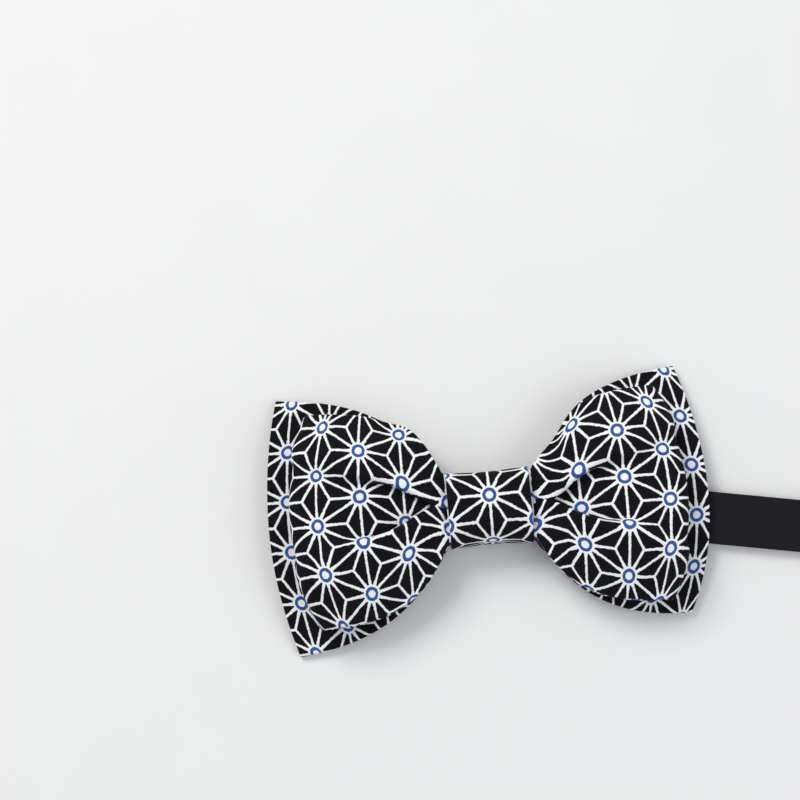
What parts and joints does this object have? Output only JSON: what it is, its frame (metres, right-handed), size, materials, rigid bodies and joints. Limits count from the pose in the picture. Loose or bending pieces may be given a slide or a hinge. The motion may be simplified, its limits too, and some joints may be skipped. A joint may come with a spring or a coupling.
{
  "type": "pre-tied bow tie",
  "caption": "Pre-tied butterfly bow tie in black cotton with a white hemp-leaf line print and blue star centres, on an adjustable black neck band that closes with a hook and ring.",
  "frame": {"origin": "on the underside of the neck band's lower run, under the middle of the knot", "axes": "+X along the bow towards the hook and ring, +Y towards the bow's upper edge, +Z out of the bow's face, away from the surface it lies on"},
  "size_m": [0.258, 0.0763, 0.0175],
  "materials": {
    "printed_cotton": "matt black cotton with fine white lines and blue dots",
    "interlining_canvas": "off-white woven canvas",
    "black_thread": "black polyester sewing thread",
    "band_twill": "fine black ribbed weave, slight sheen",
    "nickel": "polished nickel plate"
  },
  "bodies": {
    "neck_band": {"neck_band": "band_twill", "ring_bar_tack": "black_thread", "band_feed": "band_twill"},
    "bow": {"back_leaf_face": "printed_cotton", "back_leaf_interlining": "interlining_canvas", "back_leaf_lining": "printed_cotton", "front_loop_outer": "printed_cotton", "front_loop_interlining": "interlining_canvas", "front_loop_inner": "printed_cotton", "centre_binding": "black_thread", "knot_wrap": "printed_cotton", "knot_interlining": "interlining_canvas", "knot_stitches": "black_thread"},
    "turn": {"band_turn": "band_twill", "band_return": "band_twill"},
    "slider": {"slider": "nickel", "band_end_fold": "band_twill", "slider_bar_tack": "black_thread"},
    "hook": {"hook": "nickel"},
    "ring": {"ring": "nickel"}
  },
  "joints": [
    {"name": "bow_slide", "type": "slide", "parent": "neck_band", "child": "bow", "axis": [1, 0, 0], "range_m": [-0.025, 0.006]},
    {"name": "band_adjust", "type": "slide", "parent": "neck_band", "child": "turn", "axis": [0.9829, -0.1839, 0], "range_m": [-0.015, 0.018], "deforming": ["band_feed"]},
    {"name": "slider_follow", "type": "slide", "parent": "turn", "child": "slider", "axis": [0.9829, -0.1839, 0], "range_m": [-0.015, 0.018], "deforming": ["band_return"]},
    {"name": "hook_hinge", "type": "hinge", "parent": "turn", "child": "hook", "pos_m": [0.14007, -0.02234, 0.0041], "axis": [-0.1839, -0.9829, 0], "range_deg": [0, 100]},
    {"name": "ring_hinge", "type": "hinge", "parent": "neck_band", "child": "ring", "pos_m": [0.18725, -0.03117, 0.0016], "axis": [-0.1839, -0.9829, 0], "range_deg": [0, 115]}
  ],
  "couplings": [
    {"joint": "slider_follow", "follows": "band_adjust", "ratio": 1}
  ]
}
